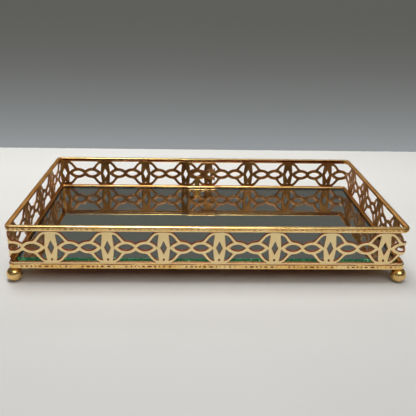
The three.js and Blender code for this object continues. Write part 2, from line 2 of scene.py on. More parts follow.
# # A mirrored vanity tray
# The real object is a shallow gold tray for perfume bottles. A pierced strip of sheet, the gallery, stands
# on a flat pan and carries a rolled rim. A mirror lies inside, and four balls hold the tray off the table.
# The imported model gives every place and size. This lesson adds what it leaves out: the rounded and oxidised
# edges of the piercings, with painted shade along them, the beads on rim and lip, the green cut edge of the
# glass, and the finishes.

# %% Load the imported tray
import bpy
import numpy as np
from math import pi, radians
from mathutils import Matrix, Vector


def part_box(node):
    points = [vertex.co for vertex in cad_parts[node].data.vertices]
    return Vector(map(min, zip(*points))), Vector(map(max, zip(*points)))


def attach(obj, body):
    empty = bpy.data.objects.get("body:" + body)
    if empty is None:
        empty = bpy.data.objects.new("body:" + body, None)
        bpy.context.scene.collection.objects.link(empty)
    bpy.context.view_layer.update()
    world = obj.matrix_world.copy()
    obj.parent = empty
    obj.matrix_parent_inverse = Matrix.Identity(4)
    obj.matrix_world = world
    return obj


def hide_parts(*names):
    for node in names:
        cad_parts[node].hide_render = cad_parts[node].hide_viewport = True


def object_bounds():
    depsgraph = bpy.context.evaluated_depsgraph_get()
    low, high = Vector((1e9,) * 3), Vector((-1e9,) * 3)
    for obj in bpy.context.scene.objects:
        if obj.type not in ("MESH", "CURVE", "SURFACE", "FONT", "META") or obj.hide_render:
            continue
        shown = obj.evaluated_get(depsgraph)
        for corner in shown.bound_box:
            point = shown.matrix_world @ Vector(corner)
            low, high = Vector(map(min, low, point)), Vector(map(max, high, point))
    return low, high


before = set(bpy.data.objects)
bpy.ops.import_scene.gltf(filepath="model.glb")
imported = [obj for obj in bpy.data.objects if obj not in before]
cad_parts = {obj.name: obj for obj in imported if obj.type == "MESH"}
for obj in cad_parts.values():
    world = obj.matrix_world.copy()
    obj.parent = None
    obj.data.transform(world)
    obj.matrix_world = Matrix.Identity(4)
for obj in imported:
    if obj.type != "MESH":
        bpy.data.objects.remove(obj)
cad_low, cad_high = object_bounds()
MM = 0.001
cad_size = [round((high - low) / MM, 1) for low, high in zip(cad_low, cad_high)]
print("nodes:", len(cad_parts), "size in mm:", cad_size)

# %% [markdown]
# ## The camera
# A product camera is placed first, so that every later cell can be judged through it. It stands in front of
# the tray, a little left of its middle, and looks down by about 22 degrees. It leans by one degree, as a
# camera held by hand does.

# %% Camera
CAMERA_PLACE = (-0.01427, -0.45459, 0.20900)
CAMERA_TURN = (68.219, -1.058, -1.566)  # degrees about X, Y and Z
CAMERA_LENS = 47.32

camera_data = bpy.data.cameras.new("camera")
camera_data.lens = CAMERA_LENS
camera = bpy.data.objects.new("camera", camera_data)
camera.location = CAMERA_PLACE
camera.rotation_euler = [radians(turn) for turn in CAMERA_TURN]
bpy.context.collection.objects.link(camera)
bpy.context.scene.camera = camera
bpy.context.scene.view_settings.view_transform = "Standard"
print("camera is", round(camera.location.length, 3), "m from the tray")

# %% [markdown]
# ## Shader maths as expressions
# A material is a graph of nodes. Writing the graph link by link hides the idea, so a small class wraps the
# output of a node. Arithmetic on it adds Math nodes, and one method adds any other kind of node.


# %% A wire in a shader
class Wire:
    """One output socket of a shader node. Sums and products of wires and numbers add Math nodes."""

    def __init__(self, tree, socket):
        self.tree = tree
        self.socket = socket

    def node(self, kind, settings=(), inputs=(), output=0):
        """Adds a node of a kind: its settings come first, then the value or link of each named socket."""
        added = self.tree.nodes.new("ShaderNode" + kind)
        for name, value in dict(settings).items():
            setattr(added, name, value)
        for name, value in dict(inputs).items():
            if isinstance(value, Wire):
                self.tree.links.new(value.socket, added.inputs[name])
            else:
                added.inputs[name].default_value = value
        return Wire(self.tree, added.outputs[output])

    def math(self, operation, first, second=0.0):
        return self.node("Math", {"operation": operation}, {0: first, 1: second})

    def __add__(self, other):
        return self.math("ADD", self, other)

    def __sub__(self, other):
        return self.math("SUBTRACT", self, other)

    def __rsub__(self, other):
        return self.math("SUBTRACT", other, self)

    def __mul__(self, other):
        return self.math("MULTIPLY", self, other)

    __radd__ = __add__
    __rmul__ = __mul__

    def size(self):
        """This wire without its sign."""
        return self.math("ABSOLUTE", self)

    def sine(self):
        return self.math("SINE", self)

    def rise(self, low, high):
        """0 below low, 1 above high, and a smooth S between them."""
        inputs = {"Value": self, "From Min": low, "From Max": high}
        return self.node("MapRange", {"interpolation_type": "SMOOTHSTEP"}, inputs)

    def colour(self, none, full):
        """A colour that goes from none to full as this wire goes from 0 to 1."""
        return self.node("Mix", {"data_type": "RGBA"}, {0: self, 6: none, 7: full}, output=2)

    def noise(self, scale, detail=2.0, rough=0.5):
        """Soft noise between 0 and 1. This wire is the place, and scale is in patches to the metre."""
        inputs = {"Vector": self, "Scale": scale, "Detail": detail, "Roughness": rough}
        return self.node("TexNoise", (), inputs)

    def bump(self, distance, strength=1.0):
        """A surface tilted by this wire as a height, where 1 stands proud by distance."""
        return self.node("Bump", (), {"Height": self, "Distance": distance, "Strength": strength})

    def stretched(self, scale, turn=(0.0, 0.0, 0.0)):
        """This place turned and scaled on each axis, so that noise read from it is drawn out."""
        return self.node("Mapping", (), {"Vector": self, "Scale": scale, "Rotation": turn})

    def mark(self, name):
        """The number that the mesh carries at each point under a name, or 0 if it carries none."""
        return self.node("Attribute", {"attribute_name": name}, output=2)


# %% Start a finish
def shade(red, green, blue):
    """A colour as a screen shows it, from 0 to 255, turned into the linear light that a shader works in."""
    screen = np.array([red, green, blue]) / 255
    linear = np.where(screen > 0.04045, ((screen + 0.055) / 1.055) ** 2.4, screen / 12.92)
    return (*linear.tolist(), 1.0)


def new_finish(name, **constants):
    """Makes a material whose Principled shader has the given constants.
    Returns the material, the shader node and a wire that reads Object coordinates in metres."""
    material = bpy.data.materials.new(name)
    material.use_nodes = True
    tree = material.node_tree
    shader = tree.nodes["Principled BSDF"]
    for socket, value in constants.items():
        shader.inputs[socket.replace("_", " ")].default_value = value
    place = tree.nodes.new("ShaderNodeTexCoord").outputs["Object"]
    return material, shader, Wire(tree, place)


def feed(shader, **wires):
    """Links wires to the shader's sockets by name."""
    for socket, wire in wires.items():
        wire.tree.links.new(wire.socket, shader.inputs[socket.replace("_", " ")])


print("a gold of (222, 188, 120) on screen is", np.round(shade(222, 188, 120)[:3], 3), "in light")

# %% [markdown]
# ## The gold of the gallery
# The strip is satin gold outside, where it was blasted before plating, and smoother inside, where it was not.
# Its inside is painted brown, as painted shade within the tray, and its end walls are painted amber, as
# painted light. Along every cut edge the plating is thin and has turned red-brown, and the same dark band
# carries painted shade, wider on edges that face up and along the foot of the rim. The mesh carries the
# distance to the nearest edge as an attribute, so the oxide and the painted shade follow each opening however
# the strip is bent.


# %% Gallery finish
def gallery_finish():
    """Red-brown where the mark edge, in metres, is small: oxidised cut edges with painted shade on them, and
    further out on edges that the mark upward names, which face up and take painted shade. The mark inside goes
    from face gold to a brown that is painted shade, and the mark side from brown to an amber that is painted
    light on the end walls."""
    finish, shader, place = new_finish("satin_gallery_gold", Metallic=0.92)
    edge, inside, upward, side = [place.mark(name) for name in ("edge", "inside", "upward", "side")]
    cloud = place.noise(70, 3)
    sparkle = place.noise(2600, 2, 0.7)
    ragged = edge + (0.30 * MM) * (place.noise(900, 2) - 0.5) - (0.70 * MM) * upward
    edge_oxide_and_shade = (1 - ragged.rise(0.02 * MM, 0.24 * MM)) * (1 - 0.8 * inside)
    face = cloud.rise(0.3, 0.7).colour(shade(255, 220, 152), shade(255, 229, 168))
    face = sparkle.rise(0.35, 0.75).colour(face, shade(255, 240, 196))
    patch = cloud.rise(0.35, 0.65)
    brown = patch.colour(shade(140, 94, 50), shade(164, 116, 66))
    amber = patch.colour(shade(190, 134, 68), shade(212, 156, 88))
    skin = inside.colour(face, side.colour(brown, amber))
    feed(shader, Base_Color=edge_oxide_and_shade.colour(skin, shade(146, 54, 26)))
    feed(shader, Roughness=0.40 + 0.10 * sparkle - 0.10 * inside + 0.06 * cloud)
    height = sparkle + 0.5 * place.noise(600, 2)
    feed(shader, Normal=height.bump(0.06 * MM, 0.55))
    return finish


gallery_gold = gallery_finish()
print("made", gallery_gold.name)

# %% [markdown]
# ## The gold of rims, balls and turned parts
# The rim is brighter than the strip, because it is rolled and handled. Its beads keep dark oxide in their
# valleys, and the groove under its crown and the face of its hem are darkened with painted shade; one
# attribute marks both. The balls and their collars are polished and pick up fine scratches. The studs are
# turned, which leaves rings round their axis, and the clip on the lap takes the same plain brass.


# %% Rim finish
def rim_finish():
    """Bright gold with slow patches of wear. It turns amber by the marks inside and side: painted shade on the
    hem's face inside the tray, and painted light on the end walls. It turns dark red-brown where a third mark
    is high: oxidised metal between the beads and in the pits, and painted shade in the groove under the crown
    and on the hem's face."""
    finish, shader, place = new_finish("rolled_rim_gold", Metallic=1.0)
    valley, inside, side = [place.mark(name) for name in ("valley", "inside", "side")]
    worn = place.noise(45, 3)
    fine = place.noise(1800, 2)
    dark = (valley + 0.35 * (fine - 0.5)).rise(0.42, 0.80)
    patch = worn.rise(0.35, 0.7)
    gold = patch.colour(shade(240, 196, 116), shade(252, 222, 158))
    amber = patch.colour(shade(196, 134, 60), shade(218, 158, 82))
    skin = (inside + 0.85 * side).rise(0, 1).colour(gold, amber)
    feed(shader, Base_Color=dark.colour(skin, shade(124, 48, 24)))
    feed(shader, Roughness=0.22 + 0.12 * fine + 0.20 * dark + 0.16 * inside + 0.16 * side)
    feed(shader, Normal=(fine + 0.6 * worn).bump(0.05 * MM, 0.4))
    return finish


rim_gold = rim_finish()
print("made", rim_gold.name)


# %% Ball and turned finishes
def ball_finish():
    """Polished gold whose roughness rises along fine scratches, which are thin bands of stretched noise."""
    finish, shader, place = new_finish("polished_ball_gold", Metallic=1.0)
    streaks = place.stretched((1.0, 1.0, 9.0), (0.5, 0.3, 0.0)).noise(700, 1)
    scratch = 1 - (streaks - 0.5).size().rise(0.0, 0.02)
    tarnish = place.noise(260, 3).rise(0.45, 0.8)
    feed(shader, Base_Color=tarnish.colour(shade(240, 202, 132), shade(218, 170, 98)))
    feed(shader, Roughness=0.24 + 0.10 * scratch + 0.10 * tarnish)
    feed(shader, Normal=(0.5 * scratch + place.noise(400, 2)).bump(0.03 * MM, 0.35))
    return finish


TOOL_MARKS = 14000  # radians to the metre, which puts a ring every 0.45 mm


def turned_finish():
    """Brass with the rings that a lathe leaves, as a sine of the height."""
    finish, shader, place = new_finish("turned_brass", Metallic=1.0)
    height = place.node("SeparateXYZ", (), {"Vector": place}, output=2)
    rings = (height * TOOL_MARKS).sine() * 0.5 + 0.5
    grime = place.noise(500, 3)
    feed(shader, Base_Color=grime.colour(shade(196, 152, 82), shade(128, 88, 40)))
    feed(shader, Roughness=0.25 + 0.15 * rings + 0.15 * grime)
    feed(shader, Normal=rings.bump(0.02 * MM, 0.5))
    return finish


ball_gold, turned_brass = ball_finish(), turned_finish()
print("made", ball_gold.name, "and", turned_brass.name)


# %% [markdown]
# ## Mirror, glass and board
# A mirror is a sheet of glass with silver behind it. Both are made here, so that the glass edge shows its
# own colour and the reflection sits one glass thickness down. The silver is a little uneven and the glass
# carries faint wipe marks. The cut edge is deep green, as thick float glass is when seen end on.


# %% Mirror finishes
def silver_finish():
    """A mirror that is a little uneven, in slow clouds."""
    finish, shader, place = new_finish("mirror_silver", Metallic=1.0)
    cloud = place.noise(14, 3)
    feed(shader, Base_Color=cloud.rise(0.3, 0.7).colour(shade(236, 238, 234), shade(242, 243, 240)))
    feed(shader, Roughness=0.012 + 0.012 * cloud)
    return finish


def glass_finish():
    """Clear glass whose roughness rises along wipe marks, which are noise drawn out on a slant."""
    constants = {"Base_Color": (0.98, 1.0, 0.99, 1), "Transmission_Weight": 1.0, "IOR": 1.5}
    finish, shader, place = new_finish("mirror_glass", **constants)
    wiped = place.stretched((1.0, 6.0, 1.0), (0.0, 0.0, 0.5)).noise(30, 4)
    feed(shader, Roughness=0.004 + 0.016 * wiped.rise(0.5, 0.8))
    return finish


def cut_edge_finish():
    """Green glass whose chips carry painted glints by the mark front, and a painted shade of dark brown
    elsewhere. Light that enters the plate leaves by its edge, which a faint painted glow stands for."""
    finish, shader, place = new_finish("green_cut_edge", Coat_Weight=0.6, IOR=1.5, Emission_Strength=0.16)
    chips = place.noise(520, 3, 0.6)
    front = place.mark("front")
    glint = place.noise(210, 2).rise(0.56, 0.66) * chips.rise(0.42, 0.60)
    deep = chips.rise(0.3, 0.7).colour(shade(8, 92, 62), shade(36, 150, 108))
    lit = glint.colour(deep, shade(140, 240, 186))
    feed(shader, Base_Color=front.colour(shade(38, 26, 18), lit))
    feed(shader, Emission_Color=front.colour(shade(0, 0, 0), lit))
    feed(shader, Roughness=0.10 + 0.25 * chips)
    feed(shader, Normal=chips.bump(0.25 * MM, 0.9))
    return finish


def board_finish():
    """Dull card, with fibres drawn out along the tray."""
    finish, shader, place = new_finish("brown_board", Metallic=0.0)
    strands = place.stretched((1.0, 5.0, 1.0)).noise(380, 4, 0.7)
    feed(shader, Base_Color=strands.colour(shade(142, 42, 20), shade(170, 66, 34)))
    feed(shader, Roughness=0.72 + 0.2 * strands)
    feed(shader, Normal=strands.bump(0.12 * MM, 0.7))
    return finish


silver, glass, cut_edge, board = silver_finish(), glass_finish(), cut_edge_finish(), board_finish()
print("made", silver.name, glass.name, cut_edge.name, board.name)

# %% [markdown]
# ## From arrays to a piece
# Every new piece is an array of points and an array of faces. The sign of the enclosed volume tells which
# way the faces point.


# %% Make a piece
def make_piece(name, points, faces, finish, slot, replaces=(), sharp=40, **attributes):
    """Makes a closed mesh of points (n, 3) and a list of face arrays (m, corners), all in metres.
    The volume is a sixth of the sum of corner . (next x last) over the faces' corner triangles."""
    points = np.asarray(points, float)
    volume = 0.0
    for group in faces:
        first = points[group[:, 0]]
        for step in range(1, group.shape[1] - 1):
            second, third = points[group[:, step]], points[group[:, step + 1]]
            volume += np.einsum("ij,ij->", first, np.cross(second, third)) / 6
    turned = [group[:, ::-1] if volume < 0 else group for group in faces]
    mesh = bpy.data.meshes.new(name)
    corners = np.concatenate([group.ravel() for group in turned]).astype(np.int32)
    sizes = np.concatenate([np.full(len(group), group.shape[1]) for group in turned]).astype(np.int32)
    mesh.vertices.add(len(points))
    mesh.vertices.foreach_set("co", points.ravel())
    mesh.loops.add(len(corners))
    mesh.loops.foreach_set("vertex_index", corners)
    mesh.polygons.add(len(sizes))
    mesh.polygons.foreach_set("loop_start", (np.cumsum(sizes) - sizes).astype(np.int32))
    mesh.polygons.foreach_set("use_smooth", np.ones(len(sizes), bool))
    for key, values in attributes.items():
        mesh.attributes.new(key, "FLOAT", "POINT").data.foreach_set("value", np.ravel(values))
    mesh.update(calc_edges=True)
    mesh.validate()
    mesh.set_sharp_from_angle(angle=radians(sharp))
    mesh.materials.append(finish)
    piece = bpy.data.objects.new(name, mesh)
    bpy.context.collection.objects.link(piece)
    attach(piece, "root")
    if replaces:
        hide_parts(*replaces)
    print(f"{name}: {len(sizes)} faces, {abs(volume) / MM**3:.1f} cubic mm")
    return piece


def wrapped_faces(rows, columns):
    """Quads of a grid of points that closes on itself both ways, as a ring does."""
    row, column = np.meshgrid(np.arange(rows), np.arange(columns), indexing="ij")
    row_on, column_on = (row + 1) % rows, (column + 1) % columns
    corners = [row * columns + column, row_on * columns + column]
    corners += [row_on * columns + column_on, row * columns + column_on]
    return np.stack([corner.ravel() for corner in corners], axis=1)


print("a ring of 4 by 3 points has", len(wrapped_faces(4, 3)), "faces")

# %% [markdown]
# ## The run of the wall
# The gallery, the rim, the lip's band and the seam wire follow one path: a rectangle with round corners,
# walked anticlockwise from the lap on the back wall. A point on it is a point of an inner rectangle plus a
# step along the outward direction, and both are straight-line interpolations of the run.

# %% Path of the wall
pan_low, pan_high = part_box("base_pan")
HALF_LENGTH, HALF_DEPTH = pan_high[0], pan_high[1]
CORNER = 5 * MM  # radius at the outside of the pan
SHEET = 1.4 * MM
SHEET_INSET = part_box("gallery_front")[0][1] - pan_low[1]  # outside of the pan to outside of the sheet
TOUCH = 0.05 * MM  # between pieces that rest on each other
LAP = 18 * MM  # the two ends of the strip overlap over this length, and more by the tail
LAP_START = 1.4 * MM  # on X, where the path starts and the lap with it
LAP_TAIL = 9.5 * MM  # the strip's inner end reaches this far back past the start
LAP_STEP = SHEET + TOUCH  # how far the inner end lies inside the outer one
LAP_RAMP = 7 * MM  # the inner end eases back to the wall's line over this length

core_x, core_y = HALF_LENGTH - CORNER, HALF_DEPTH - CORNER
bend = pi / 2 * (CORNER - SHEET_INSET - SHEET / 2)
left_part, right_part = core_x + LAP_START, core_x - LAP_START  # of the back wall, either side of the start
stretches = [left_part, bend, 2 * core_y, bend, 2 * core_x, bend, 2 * core_y, bend, right_part]
BREAKS = np.concatenate([[0], np.cumsum(stretches)])
PERIMETER = BREAKS[-1]


def wall_point(run, inset):
    """Point of the path at a run, moved inwards by inset from the outside of the pan. A run past the end goes
    round again. The point is core + (corner - inset) * (cos turn, sin turn)."""
    run = np.mod(run, PERIMETER)
    turn = np.interp(run, BREAKS, np.repeat([0.5, 1.0, 1.5, 2.0, 2.5], 2) * pi)
    x = np.interp(run, BREAKS, [LAP_START, *[-core_x] * 4, *[core_x] * 4, LAP_START])
    y = np.interp(run, BREAKS, [*[core_y] * 3, *[-core_y] * 4, *[core_y] * 3])
    reach = CORNER - inset
    return x + reach * np.cos(turn), y + reach * np.sin(turn)


def after_start(run):
    """How far the strip's inner end moves inwards: a whole step through the lap, then a straight ramp."""
    return np.clip(1 - (run - LAP) / LAP_RAMP, 0, 1) * LAP_STEP


def lap_step(run):
    """How far pieces inside the strip move inwards to clear its lap. The tail lies at the path's far end."""
    before_start = np.clip((run - PERIMETER + LAP_TAIL + LAP_RAMP) / LAP_RAMP, 0, 1) * LAP_STEP
    return np.maximum(after_start(run), before_start)


SIDE_START, SIDE_FADE = HALF_LENGTH - 6 * MM, 3 * MM


def on_side(points):
    """1 on the two end walls and 0 elsewhere. Their gold is painted amber, as painted light for the way the
    end walls catch the light."""
    return np.clip((np.abs(points[..., 0]) - SIDE_START) / SIDE_FADE, 0, 1)


REPEATS = 23  # of the pattern, along the wall and its lap
PITCH = (PERIMETER + LAP) / REPEATS
print(f"run of the wall {PERIMETER / MM:.1f} mm, repeat {PITCH / MM:.2f} mm")

# %% [markdown]
# ## The pierced strip
# Real gallery strip is stamped from sheet, so it is one surface with holes. Cutting the holes with booleans
# would leave sharp, poorly spread faces. Here the strip is a fine grid instead. A distance to the nearest
# opening is worked out for the whole grid at once, cells in an opening are dropped, and the points along each
# outline are pulled onto it. The same distance rounds the edges and paints the oxide, together with painted
# shade along the edges.

# %% Sizes of the lattice
STRIP_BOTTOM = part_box("gallery_front")[0][2]
STRIP_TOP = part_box("gallery_front")[1][2]
FOOT_MARGIN, HEAD_MARGIN = 4.3 * MM, 3 * MM  # plain sheet below and above the piercings
PIERCED_LOW, PIERCED_HIGH = STRIP_BOTTOM + FOOT_MARGIN, STRIP_TOP - HEAD_MARGIN
MIDDLE, HALF = (PIERCED_LOW + PIERCED_HIGH) / 2, (PIERCED_HIGH - PIERCED_LOW) / 2
POST_WAIST, POST_END = 5 * MM, 3.6 * MM  # half widths at the middle and at the margins
RING_LENGTH, RING_HEIGHT, RING_NECK = 7.1 * MM, 5.4 * MM, 2.9 * MM  # half sizes
RING_CENTRE = PITCH / 2 - RING_LENGTH
WINDOW_LENGTH, WINDOW_HEIGHT = 5.5 * MM, 2.4 * MM  # half sizes
DIAMOND_WIDTH, DIAMOND_HEIGHT = 2.2 * MM, 5.1 * MM  # half sizes
ARCH_BAR, ARCH_OVERRUN = 2.7 * MM, 0.6 * MM
ARCH_FALL = 2  # the arch drops this steeply past the ring's middle
DOT_BELOW, DOT_RADIUS = 9.8 * MM, 0.55 * MM  # a small hole at the foot of each post


def least(*values, blend=0.45 * MM):
    """The smallest of some distances, with its corners rounded over a length blend."""
    result = values[0]
    for value in values[1:]:
        near = np.maximum(blend - np.abs(result - value), 0) / blend
        result = np.minimum(result, value) - near**2 * blend / 4
    return result


print(f"pierced from {PIERCED_LOW / MM:.1f} to {PIERCED_HIGH / MM:.1f} mm above the table")


# %% Distance to the lattice's openings
def lens(x, z, length, height):
    """Distance outside a lens of two arcs with given half sizes, which is the distance to an arc's centre
    less its radius. The radius is (length^2 + height^2) / (2 * height)."""
    radius = (length**2 + height**2) / (2 * height)
    return np.hypot(x, z + radius - height) - radius


def metal(run, height):
    """How far a point of the flat strip is inside the metal, in metres, and negative in an opening. Each
    opening is the least of its distances to the shapes that bound it: the sail lies between post, ring and
    arch, the crest between two arches and the margin, the window in a ring and the diamond in a post. An arch
    is ring height + rise * (1 + cos(pi * share^2)) / 2. Its share goes from 0 at the post's middle to 1 at
    the ring's."""
    x = np.abs(np.mod(run / PITCH, 1) - 0.5) * PITCH
    z = np.abs(height - MIDDLE)
    ring_drop = RING_HEIGHT - RING_NECK
    ring_radius = (RING_LENGTH**2 + ring_drop**2) / (2 * ring_drop)
    over_ring = np.hypot(x - RING_CENTRE, z + ring_radius - RING_HEIGHT) - ring_radius
    share = np.minimum(x / RING_CENTRE, 1)
    rise = HALF - RING_HEIGHT + ARCH_OVERRUN
    arch = RING_HEIGHT + rise * (1 + np.cos(pi * share**2)) / 2 - ARCH_FALL * np.maximum(x - RING_CENTRE, 0)
    slope = -rise * np.sin(pi * share**2) * pi * share / RING_CENTRE
    under_arch = (arch - z) / np.hypot(1, slope)
    beside_post = x - POST_END - (POST_WAIST - POST_END) * (1 - z / HALF)
    sail = least(beside_post, over_ring, under_arch - ARCH_BAR)
    crest = least(-under_arch, over_ring, HALF - z)
    window = -lens(x - RING_CENTRE, z, WINDOW_LENGTH, WINDOW_HEIGHT)
    facet = DIAMOND_WIDTH * DIAMOND_HEIGHT / np.hypot(DIAMOND_WIDTH, DIAMOND_HEIGHT)
    diamond = (1 - x / DIAMOND_WIDTH - z / DIAMOND_HEIGHT) * facet
    dot = DOT_RADIUS - np.hypot(x, height - MIDDLE + DOT_BELOW)
    return -np.max([sail, crest, window, diamond, dot], axis=0)


sample = np.meshgrid(np.linspace(0, PITCH, 300), np.linspace(PIERCED_LOW, PIERCED_HIGH, 200))
print(f"metal fills {np.mean(metal(*sample) > 0):.0%} of the pierced band")

# %% Pull a grid onto the outlines
CELL = 0.5 * MM
SLIDE = 0.7 * CELL  # the furthest that a point slides
PULLS = 4
TINY = 0.01 * MM  # a step that measures a slope
LEAST_STEEP = 0.2  # squared slope below which a pull would overshoot


def outline_grid(first, last):
    """Grid of (run, height) over a stretch, the cells that are metal, each point's distance to an edge, and
    how much the metal ends upwards there. A point beside a dropped cell slides down the distance's gradient
    until the distance is nought."""
    runs = np.linspace(first, last, round((last - first) / CELL) + 1)
    heights = np.linspace(STRIP_BOTTOM, STRIP_TOP, round((STRIP_TOP - STRIP_BOTTOM) / CELL) + 1)
    middles = np.meshgrid((runs[1:] + runs[:-1]) / 2, (heights[1:] + heights[:-1]) / 2, indexing="ij")
    kept = metal(*middles) > 0
    around = np.pad(kept, 1, mode="edge").astype(int)
    around = around[1:, 1:] + around[:-1, 1:] + around[1:, :-1] + around[:-1, :-1]
    outline = (around > 0) & (around < 4)
    run, height = np.meshgrid(runs, heights, indexing="ij")
    start_run, start_height = run.copy(), height.copy()
    for _ in range(PULLS):
        depth = metal(run, height)
        by_run = (metal(run + TINY, height) - metal(run - TINY, height)) / (2 * TINY)
        by_height = (metal(run, height + TINY) - metal(run, height - TINY)) / (2 * TINY)
        steep = np.maximum(by_run**2 + by_height**2, LEAST_STEEP)
        run = np.where(outline, run - depth * by_run / steep, run)
        height = np.where(outline, height - depth * by_height / steep, height)
    run = np.clip(run, start_run - SLIDE, start_run + SLIDE)
    height = np.clip(height, start_height - SLIDE, start_height + SLIDE)
    run[[0, -1]] = start_run[[0, -1]]
    edge = np.where(outline, 0, np.maximum(metal(run, height), 0))
    upward = np.clip(metal(run, height - TINY) - metal(run, height + TINY), 0, 2 * TINY) / (2 * TINY)
    return run, height, kept, edge, upward


# %% Give the grid its thickness and bend it
EDGE_ROUND = 0.32 * MM
RIM_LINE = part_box("top_rim_front")[0][2] - TOUCH  # a painted shadow line runs along the foot of the rim
RAIL_TOP = PIERCED_LOW + 0.3 * MM  # painted shade on upward edges is weaker along the bottom rail's own top edge


def strip_piece(name, first, last):
    """One stretch of the strip: two skins half a sheet each side of its middle, rounded off towards an edge
    by a quarter circle, and walls between them wherever a kept cell has no neighbour. A skin's half thickness
    is sheet / 2 less round * (1 - sqrt(1 - (1 - distance / round)^2))."""
    run, height, kept, edge, upward = outline_grid(first, last)
    fade = np.clip(1 - edge / EDGE_ROUND, 0, 1)
    half = SHEET / 2 - EDGE_ROUND * (1 - np.sqrt(1 - fade**2))
    middle = SHEET_INSET + SHEET / 2 + after_start(run)
    skins = [np.stack([*wall_point(run, middle + way * half), height], axis=-1) for way in (-1, 1)]
    columns, count = run.shape[1], run.size
    i, j = np.nonzero(kept)
    near, far = i * columns + j, (i + 1) * columns + j
    ring = np.stack([near, far, far + 1, near + 1], axis=1)
    faces = [ring, ring[:, ::-1] + count]
    framed = np.pad(kept, 1)
    for corner, (di, dj) in enumerate([(0, -1), (1, 0), (0, 1), (-1, 0)]):
        bare = ring[~framed[i + 1 + di, j + 1 + dj]]
        a, b = bare[:, corner], bare[:, (corner + 1) % 4]
        faces.append(np.stack([b, a, a + count, b + count], axis=1))
    used, packed = np.unique(np.concatenate([group.ravel() for group in faces]), return_inverse=True)
    points = np.concatenate([skin.reshape(-1, 3) for skin in skins])[used]
    starts = np.cumsum([0, *[group.size for group in faces]])
    faces = [packed[a:b].reshape(-1, 4) for a, b in zip(starts, starts[1:])]
    # painted shadow along the rim's foot, and painted shade on upward-facing edges, weaker on the bottom rail
    edge = np.minimum(edge, np.abs(height - RIM_LINE) + 0.05 * MM)
    upward = upward * np.where(height < RAIL_TOP, 0.15, 1.0)
    marks = {"edge": np.tile(edge.ravel(), 2)[used], "upward": np.tile(upward.ravel(), 2)[used]}
    # the inside skin is painted brown as shade, and the end walls amber as painted light
    marks["inside"] = np.repeat([0.0, 1.0], count)[used]
    marks["side"] = on_side(points)
    return make_piece(name + "_strip", points, faces, gallery_gold, "gallery_gold", [name], **marks)


corner_middles = (BREAKS[1:9:2] + BREAKS[2:9:2]) / 2
cuts = [-LAP_TAIL, *corner_middles, PERIMETER + LAP]
walls = ["gallery_back_left", "gallery_left", "gallery_front", "gallery_right", "gallery_back_right"]
for wall, first, last in zip(walls, cuts, cuts[1:]):
    strip_piece(wall, first, last)

# %% [markdown]
# ## The rolled rim
# The rim is a folded channel that grips the top of the strip. Its crown is a flattened bead. Its outer flange
# ends in a row of small beads that a knurling wheel pressed in. It is a profile carried along the wall, and
# the beads are a periodic swell of the profile's lower points.

# %% Beads along a run
BEAD_PITCH = 1.3 * MM
BEAD_STEPS = 5
BEADS = round(PERIMETER / BEAD_PITCH)
PITS = round(BEADS / 2.7)


def bead_runs():
    """Runs that put a whole number of steps on every bead."""
    return (np.arange(BEADS * BEAD_STEPS) * PERIMETER / (BEADS * BEAD_STEPS))[:, None]


def slow(run, seed):
    """A slow wander between -1 and 1 that closes on itself, as a sum of two sines."""
    wander = 2 * pi * run / PERIMETER
    return 0.55 * np.sin(23 * wander + seed) + 0.45 * np.sin(61 * wander + 2 * seed)


def valleys(run, seed):
    """Depth between neighbouring beads, from 0 on a crown to 1 in a valley, and shallow where worn."""
    crown = np.abs(np.sin(run / PERIMETER * BEADS * pi + seed)) ** 0.7
    return (1 - crown) * np.clip(0.6 + 0.6 * slow(run, seed), 0.15, 1)


def dashes(run, seed):
    """Short pits in a row, from 0 on metal to 1 in a pit. A slow wander lengthens some and fills others."""
    wave = np.sin(run / PERIMETER * PITS * 2 * pi + 2.6 * slow(run, seed + 1))
    return np.clip((wave - 0.10 + 0.85 * slow(run, seed)) * 1.8, 0, 1)


print("beads and pits round the tray:", BEADS, PITS)

# %% Rim profile along the wall
RIM_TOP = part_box("top_rim_front")[1][2]
RIM_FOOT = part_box("top_rim_front")[0][2]
ROLL_WIDE, ROLL_HIGH = 1.80 * MM, 0.50 * MM  # half sizes of the crown
RIM_WALL = 0.45 * MM
HEM_INSET = SHEET_INSET + SHEET + TOUCH + RIM_WALL  # the hem's inner face, which is seen from inside the tray


